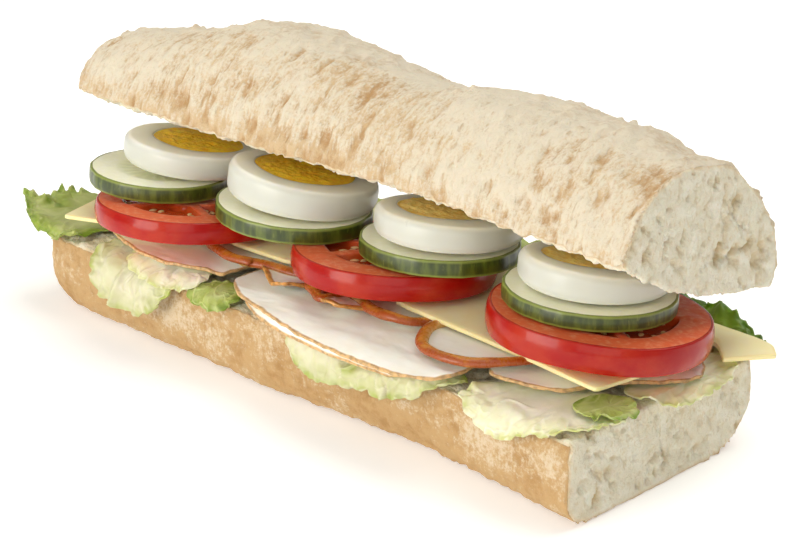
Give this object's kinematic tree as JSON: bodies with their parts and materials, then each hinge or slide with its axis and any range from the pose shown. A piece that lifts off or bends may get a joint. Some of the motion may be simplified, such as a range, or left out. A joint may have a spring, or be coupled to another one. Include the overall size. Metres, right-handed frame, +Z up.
{
  "type": "filled half baguette sandwich",
  "caption": "Half baguette cut through at one end and opened along its front, filled with lettuce, ham, cheese, tomato, cucumber and sliced egg.",
  "frame": {"origin": "on the surface that the loaf rests on, under the middle of the whole sandwich", "axes": "+X along the loaf towards its cut end, -Y towards its open front, +Z up"},
  "size_m": [0.2415, 0.0933, 0.0932],
  "materials": {
    "crust_base": "golden brown crust with flour",
    "crust_top": "pale floured crust",
    "lettuce": "satin, pale green",
    "ham": "moist, pale pink with a browned rim",
    "cheese": "satin, pale yellow",
    "tomato": "wet, red",
    "cucumber": "wet, dark green rind and pale flesh",
    "egg_white": "smooth, white",
    "egg_yolk": "crumbly, yellow"
  },
  "bodies": {
    "root": {"bread_bottom": "crust_base", "bread_top": "crust_top", "lettuce_left_end": "lettuce", "lettuce_front_left": "lettuce", "lettuce_rib": "lettuce", "lettuce_small_green": "lettuce", "lettuce_front_middle": "lettuce", "lettuce_front_right": "lettuce", "lettuce_curl": "lettuce", "lettuce_right_end": "lettuce", "lettuce_back_right": "lettuce", "lettuce_back_middle": "lettuce", "lettuce_back_left": "lettuce", "ham_left": "ham", "ham_middle": "ham", "ham_under": "ham", "ham_ruffle": "ham", "ham_fold": "ham", "ham_right": "ham", "cheese_left": "cheese", "cheese_middle": "cheese", "cheese_right": "cheese", "cheese_back_right": "cheese", "tomato_1": "tomato", "tomato_2": "tomato", "tomato_3": "tomato", "cucumber_1": "cucumber", "cucumber_2": "cucumber", "cucumber_3": "cucumber", "cucumber_4": "cucumber", "egg_white_1": "egg_white", "egg_white_2": "egg_white", "egg_white_3": "egg_white", "egg_white_4": "egg_white", "egg_yolk_1": "egg_yolk", "egg_yolk_2": "egg_yolk", "egg_yolk_3": "egg_yolk", "egg_yolk_4": "egg_yolk"}
  },
  "joints": []
}
